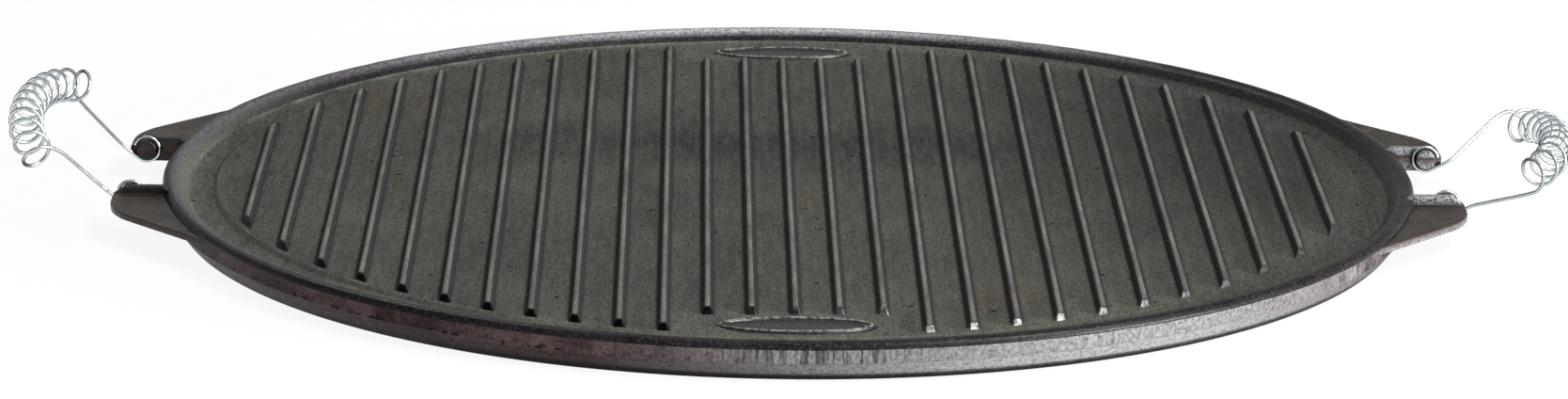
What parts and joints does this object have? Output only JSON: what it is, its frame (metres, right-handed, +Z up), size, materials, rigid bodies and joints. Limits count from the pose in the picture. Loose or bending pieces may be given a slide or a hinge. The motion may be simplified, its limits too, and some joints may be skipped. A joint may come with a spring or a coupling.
{
  "type": "griddle",
  "caption": "Round ribbed cast-iron griddle plate with a raised rim, cast lugs and sprung wire coil handles that swing on cast stubs.",
  "frame": {"origin": "on the standing plane, under the middle of the round plate", "axes": "+Z up, Y along the ribs, X from one handle to the other, with +X to the right of someone standing at -Y"},
  "size_m": [0.5372, 0.4298, 0.041],
  "materials": {
    "cast_iron": "as cast, seasoned, dull on the face and speckled on the rim",
    "zinc_wire": "bright zinc-plated drawn wire"
  },
  "bodies": {
    "plate": {"griddle_plate": "cast_iron"},
    "left_grip": {"left_handle": "zinc_wire"},
    "right_grip": {"right_handle": "zinc_wire"}
  },
  "joints": [
    {"name": "left_swing", "type": "hinge", "parent": "plate", "child": "left_grip", "pos_m": [-0.2238, 0, 0.0108], "axis": [0, 1, 0], "range_deg": [-33.5, 124.5]},
    {"name": "right_swing", "type": "hinge", "parent": "plate", "child": "right_grip", "pos_m": [0.2238, 0, 0.0108], "axis": [0, -1, 0], "range_deg": [-20.7, 137.3]}
  ]
}
